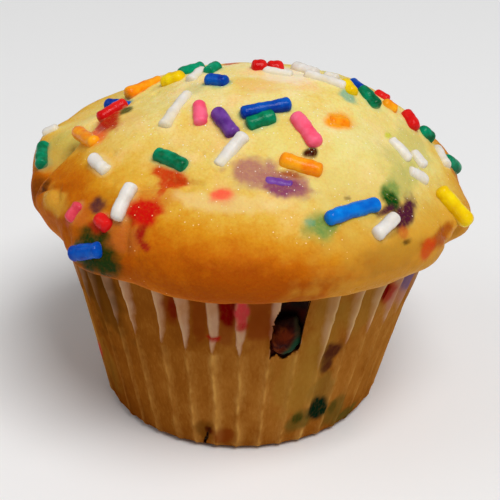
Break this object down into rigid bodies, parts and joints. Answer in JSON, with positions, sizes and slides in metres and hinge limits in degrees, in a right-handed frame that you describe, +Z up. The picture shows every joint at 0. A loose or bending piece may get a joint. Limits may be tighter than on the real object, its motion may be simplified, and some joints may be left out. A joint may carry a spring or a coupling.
{
  "type": "unfrosted cupcake in a paper baking cup",
  "caption": "Domed vanilla cupcake with colored sugar sprinkles baked into its crown, standing in a pleated paper baking cup that is torn at the front.",
  "frame": {"origin": "middle of the paper cup's flat base, on the surface that it stands on", "axes": "+Z up, -Y towards the shown front with the torn paper, +X to the right of that front"},
  "size_m": [0.0713, 0.074, 0.0581],
  "materials": {
    "crust": "soft baked crumb with a fine sugary sparkle, pale on top and golden brown at the lip",
    "paper": "thin greaseproof paper, whitish on the flutes and browned where the cake shows through",
    "sprinkle_blue": "satin sugar",
    "sprinkle_green": "satin sugar",
    "sprinkle_red": "satin sugar",
    "sprinkle_pink": "satin sugar",
    "sprinkle_orange": "satin sugar",
    "sprinkle_yellow": "satin sugar",
    "sprinkle_purple": "satin sugar",
    "sprinkle_white": "satin sugar, slightly translucent"
  },
  "bodies": {
    "root": {"cake": "crust", "paper_cup": "paper"}
  },
  "joints": []
}
